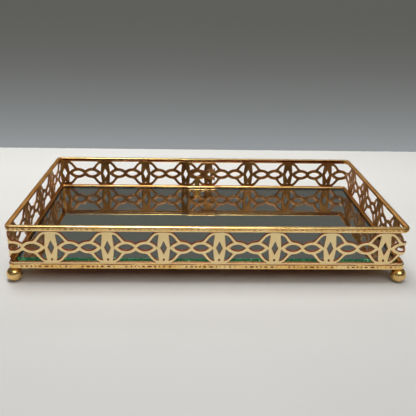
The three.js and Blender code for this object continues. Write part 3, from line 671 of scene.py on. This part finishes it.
def rolled_rim():
    """Points are (inset, rise) of a closed profile, from the flange's foot over the crown and down the hem.
    The crown is an arc over the strip, with a groove under its outside. The flange's foot is scalloped by
    the beads, and a row of pits runs along its middle. At the lap the hem moves inwards, and the crown's
    inner half stretches after it."""
    run = bead_runs()
    flange = [[0.60, 0.0], [0.20, 0.0], [0.03, 0.20], [0.0, 0.65], [0.0, 0.90], [0.0, 1.15], [0.0, 1.40]]
    flange += [[0.0, 1.60], [0.05, 2.05], [0.20, 2.25], [0.42, 2.42]]
    angle = np.linspace(1.22 * pi, -0.16 * pi, 8)
    crown = np.array([1.02 * ROLL_WIDE + ROLL_WIDE * np.cos(angle), ROLL_HIGH * (np.sin(angle) - 1)])
    crown[1] += RIM_TOP - RIM_FOOT
    hem = [[0.25, 2.56], [0.0, 2.50], [0.0, 2.10], [0.0, 0.40], [-0.15, 0.22], [-0.43, 0.22]]
    hem += [[-0.43, 2.12], [-1.95, 2.12]]
    flange, hem = np.array(flange).T * MM, np.array(hem).T * MM
    hem[0] += HEM_INSET
    inset, rise = np.concatenate([flange, crown, hem], axis=1)[:, None]
    scalloped, pitted, on_hem = np.zeros((3, inset.shape[1]))
    scalloped[:4] = [0.6, 1.0, 1.0, 0.2]
    pitted[4:7] = [0.7, 1.0, 0.6]
    on_hem[-7:] = 1
    scallop, pit = valleys(run, 1.0) * scalloped, dashes(run, 1.0) * pitted
    stretch = np.clip((inset - 0.6 * MM) / (2.4 * MM), 0, 1)
    follow = np.where(inset > 1 * MM, np.maximum(on_hem, stretch), 0)
    inset = inset + 0.30 * MM * scallop + 0.35 * MM * pit + lap_step(run) * follow
    height = RIM_FOOT + rise + 0.55 * MM * scallop
    points = np.stack([*wall_point(run + 0 * inset, inset), height], axis=-1)
    side = on_side(points)
    valley = np.maximum(scallop * 0.8, pit * 1.3)
    valley[:, 9:12] = [0.9, 1.0, 0.75]  # painted shadow in the groove under the crown
    valley[:, -7:-4] = 0.85 - 0.6 * side[:, -7:-4]  # painted shade on the hem's face, lighter on the end walls
    # the hem's face inside the tray turns amber as painted shade
    inside = 0.65 * on_hem
    inside[[-4, -3]] = 0.2  # the hem's foot, with less painted shade
    marks = {"valley": valley, "inside": inside + 0 * inset, "side": side * (inset > 0.3 * MM)}
    covered = ["top_rim_front", "top_rim_left", "top_rim_right", "top_rim_back"]
    faces = wrapped_faces(*inset.shape)
    return make_piece("rolled_rim", points.reshape(-1, 3), [faces], rim_gold, "rim_gold", covered, **marks)


rolled_rim()

# %% [markdown]
# ## The beaded lip and the seam wire
# The pan's turned-up lip is finished with the same beads, pressed out near its top edge. Inside, a round
# wire covers the seam where the strip meets the mirror, on every side but the front. It was laid by hand in
# two lengths that meet on the back wall, so its thickness and height wander slightly.

# %% Lip band
def lip_band():
    """A thin band on the outside of the lip, as a closed profile of (inset, rise). Its top edge dips between
    the beads and is dark there, and a painted shade runs along the whole top edge, where the lip meets the
    strip. A row of pits runs along its face."""
    run = bead_runs()
    foot = [[0.0, 0.0], [-0.12, 0.02], [-0.18, 0.14], [-0.18, 1.10]]
    face = [[-0.16, 1.40], [-0.16, 1.80], [-0.16, 2.20], [-0.18, 2.50]]
    top = [[-0.20, 2.95], [-0.12, 3.25], [0.20, 3.36], [0.62, 3.30], [0.62, 3.14], [0.0, 3.14]]
    inset, rise = np.array([*foot, *face, *top]).T[:, None] * MM
    jagged, pitted = np.zeros((2, inset.shape[1]))
    pitted[4:7] = [0.8, 1.0, 1.0]
    jagged[8:12] = [0.5, 1.0, 1.0, 0.4]
    jag, pit = valleys(run, 4.0) * jagged, dashes(run, 5.0) * pitted
    height = pan_low[2] + rise - 0.30 * MM * jag
    inset = inset + 0.15 * MM * pit + 0.10 * MM * jag
    valley = np.maximum(jag, pit * 1.3)
    # painted shade along the top edge, where the lip meets the strip
    valley[:, 9:12] = np.maximum(valley[:, 9:12], [0.45, 0.9, 0.9] + 0.25 * slow(run, 2.0))
    points = np.stack([*wall_point(run + 0 * inset, inset), height], axis=-1)
    faces = wrapped_faces(*inset.shape)
    return make_piece("lip_band", points.reshape(-1, 3), [faces], rim_gold, "gallery_gold", valley=valley)


lip_band()

# %% Seam wire
WIRE_LOW, WIRE_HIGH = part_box("seam_bead_left")[0][2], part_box("seam_bead_left")[1][2]
WIRE_RADIUS = (WIRE_HIGH - WIRE_LOW) / 2
WIRE_INSET = SHEET_INSET + SHEET + TOUCH + WIRE_RADIUS
WIRE_SIDES = 14
WIRE_STEP = 0.7 * MM  # along the run


def capped_faces(rows, columns):
    """Quads of a tube whose rows are rings of points, one point to a column, and a flat face at each end."""
    skin = wrapped_faces(rows, columns)[: (rows - 1) * columns]
    ends = [np.arange(columns)[None], np.arange(columns)[None, ::-1] + (rows - 1) * columns]
    return [skin, *ends]


def seam_wire(name, first, last):
    """A circle carried along a stretch of the wall. Its radius and height wander by slow sines, and it steps
    in with the lap."""
    run = np.linspace(first, last, round((last - first) / WIRE_STEP))[:, None]
    angle = (np.arange(WIRE_SIDES) * 2 * pi / WIRE_SIDES)[None]
    wander = 2 * pi * run / PERIMETER
    radius = WIRE_RADIUS * (0.94 + 0.04 * np.sin(31 * wander) + 0.02 * np.sin(83 * wander + 1))
    height = (WIRE_LOW + WIRE_HIGH) / 2 + 0.03 * MM * np.sin(19 * wander + 2) + radius * np.sin(angle)
    inset = WIRE_INSET + lap_step(run) + radius * np.cos(angle)
    points = np.stack([*wall_point(run + 0 * inset, inset), height], axis=-1)
    faces = capped_faces(*inset.shape)
    # a little painted shade all round, and painted amber light on the end walls
    marks = {"inside": 0.1 + 0 * inset, "side": on_side(points)}
    return make_piece(name + "_wire", points.reshape(-1, 3), faces, rim_gold, "rim_gold", [name], **marks)


seam_wire("seam_bead_left", TOUCH, BREAKS[3])
seam_wire("seam_bead_right", BREAKS[6], PERIMETER - TOUCH)

# %% [markdown]
# ## The cut edge of the glass
# A glazier scores the plate from above and snaps it, and leaves the edge as it breaks. The upper arris stays
# straight. Small shells come off the lower one, and they catch the light. The edge is a thin closed band round
# the plate, and its lower arris is pushed in by uneven amounts.

# %% Glass edge
glass_low, glass_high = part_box("mirror_glass")
EDGE_COUNT = 1200
GLASS_CORNER = 1.5 * MM


def glass_edge():
    """A closed profile of four points outside and four inside, carried round the plate's rectangle. A chip is
    the product of three sines that don't keep step. The weights say how far each point gives way to it."""
    centre = [(glass_low[k] + glass_high[k]) / 2 for k in (0, 1)]
    core = [(glass_high[k] - glass_low[k]) / 2 - GLASS_CORNER for k in (0, 1)]
    quarter = pi / 2 * GLASS_CORNER
    breaks = np.concatenate([[0], np.cumsum([2 * core[1], quarter, 2 * core[0], quarter] * 2)])
    run = (np.arange(EDGE_COUNT) * breaks[-1] / EDGE_COUNT)[:, None]
    turn = np.interp(run, breaks, np.array([0, 0, 1, 1, 2, 2, 3, 3, 4]) * pi / 2)
    x = np.interp(run, breaks, np.array([1, 1, 1, -1, -1, -1, -1, 1, 1]) * core[0])
    y = np.interp(run, breaks, np.array([-1, 1, 1, 1, 1, -1, -1, -1, -1]) * core[1])
    chip = np.abs(np.sin(run * 2100) * np.sin(run * 733 + 1) * np.sin(run * 311 + 2))
    out = np.array([-0.45, 0.03, 0.03, -0.45, -0.50, -0.02, -0.02, -0.50])[None] * MM
    weights = np.array([1, 0.25, 0.25, 0, 1, 0.25, 0.25, 1])
    out = out - 0.35 * MM * chip * weights
    rise = np.array([0.0, 0.5, 2.4, 2.9, 2.88, 2.38, 0.52, 0.02])[None] * MM
    reach = GLASS_CORNER + out
    height = glass_low[2] + rise + 0 * reach
    x = centre[0] + x + reach * np.cos(turn)
    y = centre[1] + y + reach * np.sin(turn)
    points = np.stack([x, y, height], axis=-1)
    front = np.clip((glass_low[1] + 6 * MM - points[..., 1]) / (4 * MM), 0, 1)  # the green, its glints and its glow are painted on the front only, and the rest is painted shade
    faces = wrapped_faces(*reach.shape)
    return make_piece("glass_cut_edge", points.reshape(-1, 3), [faces], cut_edge, "glass", front=front)


glass_edge()

# %% [markdown]
# ## The ball feet
# A foot is a solid ball with two small flats, one to stand on and one under its collar. Each is a profile
# turned round the foot's axis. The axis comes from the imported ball's box.


# %% Turned pieces
def turned_piece(name, centre, radius, height, finish, slot, node, sides=56):
    """Turns a profile of radii and heights about an upright axis, and closes both ends with a flat face."""
    angle = np.arange(sides) * 2 * pi / sides
    x = centre[0] + radius[:, None] * np.cos(angle)
    y = centre[1] + radius[:, None] * np.sin(angle)
    z = np.broadcast_to(height[:, None], x.shape)
    points = np.stack([x, y, z], axis=-1).reshape(-1, 3)
    return make_piece(name, points, capped_faces(len(radius), sides), finish, slot, [node], sharp=60)


REST_RADIUS, SEAT_RADIUS = 1.6 * MM, 2.2 * MM  # of the ball's flats, below and above
COLLAR_WAIST = 0.5 * MM  # how far the collar's side is turned in at its middle
COLLAR_ROUND = 0.12 * MM  # and at its two ends
BALL_STEPS, COLLAR_STEPS = 30, 15


def ball_and_collar(corner):
    """A ball's radius is R * cos(turn) at a height of R * sin(turn). A collar's radius is its widest less
    waist * sin(pi * share)^2 less round * (2 * share - 1)^8."""
    node = "foot_ball_" + corner
    low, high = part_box(node)
    centre = [(low[k] + high[k]) / 2 for k in (0, 1)]
    ball = (high[0] - low[0]) / 2
    turn = np.linspace(-np.arccos(REST_RADIUS / ball), np.arccos(SEAT_RADIUS / ball), BALL_STEPS)
    height = low[2] + ball * (np.sin(turn) - np.sin(turn[0]))
    turned_piece("ball_" + corner, centre, ball * np.cos(turn), height, ball_gold, "ball_gold", node)
    node = "foot_collar_" + corner
    low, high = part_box(node)
    share = np.linspace(0, 1, COLLAR_STEPS)
    widest = (high[0] - low[0]) / 2
    radius = widest - COLLAR_WAIST * np.sin(pi * share) ** 2 - COLLAR_ROUND * (2 * share - 1) ** 8
    height = low[2] + (high[2] - low[2]) * share
    turned_piece("collar_" + corner, centre, radius, height, ball_gold, "ball_gold", node)


CORNERS = ("front_left", "front_right", "back_right", "back_left")
for corner in CORNERS:
    ball_and_collar(corner)

# %% [markdown]
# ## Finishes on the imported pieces
# The pan, the mirror, the clip, the studs and the board already have their real shape. They keep it and take
# the finishes made above.

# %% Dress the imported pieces
dressed = {"base_pan": rim_gold, "mirror_silvering": silver, "mirror_glass": glass, "base_board": board}
dressed["seam_clip"] = turned_brass
for corner in CORNERS:
    dressed["foot_stud_" + corner] = turned_brass
for node, finish in dressed.items():
    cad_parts[node].material_slots[0].material = finish
print("dressed", len(dressed), "packed pieces")

# %% [markdown]
# ## The studio
# Gold shows what surrounds it. The tray stands on a wide pale table with a dim grey room behind it. One broad
# soft lamp hangs overhead, a weaker one stands in front, and a narrow strip behind lights the far rim. Faces
# that look down or forwards mirror the table and glow, and faces that look up mirror the dim room and go
# dark, which draws the lattice's outlines.


# %% Table and backdrop
STAGE_HALF_WIDTH = 3.0


def stage_piece(name, profile, finish):
    """A stage surface: each (y, z) of a profile is carried across X from one side to the other."""
    points = np.array([(x, y, z) for y, z in profile for x in (-STAGE_HALF_WIDTH, STAGE_HALF_WIDTH)])
    first = np.arange(0, len(points) - 2, 2)
    mesh = bpy.data.meshes.new(name)
    mesh.from_pydata(points, [], np.stack([first, first + 1, first + 3, first + 2], axis=1).tolist())
    mesh.materials.append(finish)
    surface = bpy.data.objects.new(name, mesh)
    bpy.context.collection.objects.link(surface)


def table_finish():
    """A pale painted top that is lighter towards its far edge: painted light, as the far part is lit more."""
    finish, shader, place = new_finish("table", Specular_IOR_Level=0.35)
    mottle = place.noise(9, 3)
    depth = place.node("SeparateXYZ", (), {"Vector": place}, output=1)
    near = mottle.colour(shade(184, 183, 181), shade(189, 188, 186))
    far = mottle.colour(shade(229, 228, 224), shade(233, 232, 228))
    # painted light: the colour brightens towards the table's far edge
    feed(shader, Base_Color=depth.rise(-0.30, 0.26).colour(near, far))
    feed(shader, Roughness=0.42 + 0.1 * mottle)
    return finish


def backdrop_finish():
    """A dim grey glow that fades with height, as a wall beyond the table's light does."""
    constants = {"Roughness": 1.0, "Base_Color": (0, 0, 0, 1), "Emission_Strength": 1.0}
    finish, shader, place = new_finish("backdrop", **constants)
    height = place.node("SeparateXYZ", (), {"Vector": place}, output=2)
    low = 1 - height.node("MapRange", (), {"Value": height, "From Min": -0.19, "From Max": 0.17})
    glow = (low * low).colour(shade(92, 92, 88), shade(147, 151, 153))
    feed(shader, Emission_Color=glow)
    return finish


TABLE_BACK = 0.289
WALL_BACK = 1.0
stage_piece("table", [(-2.5, 0.0), (TABLE_BACK, 0.0), (TABLE_BACK, -0.03)], table_finish())
stage_piece("backdrop", [(WALL_BACK, -0.8), (WALL_BACK, 1.2)], backdrop_finish())
print("the table ends", TABLE_BACK, "m behind the tray's middle")


# %% Lamps and room
def lamp(name, place, size, power):
    """A rectangular area lamp turned to face the middle of the tray's foot."""
    data = bpy.data.lights.new(name, "AREA")
    data.shape = "RECTANGLE"
    data.size, data.size_y = size
    data.energy = power
    light = bpy.data.objects.new(name, data)
    light.location = place
    light.rotation_euler = light.location.to_track_quat("Z", "Y").to_euler()
    bpy.context.collection.objects.link(light)


lamp("overhead", (-0.10, -0.05, 1.15), (1.0, 0.28), 12.6)
lamp("back_strip", (-0.10, 0.62, 0.62), (1.4, 0.10), 1.1)
lamp("front_fill", (0.2, -0.9, 1.0), (1.0, 0.6), 5.4)
room = bpy.data.worlds.new("room")
room.use_nodes = True
room.node_tree.nodes["Background"].inputs["Color"].default_value = shade(92, 90, 85)
room.node_tree.nodes["Background"].inputs["Strength"].default_value = 1.0
bpy.context.scene.world = room
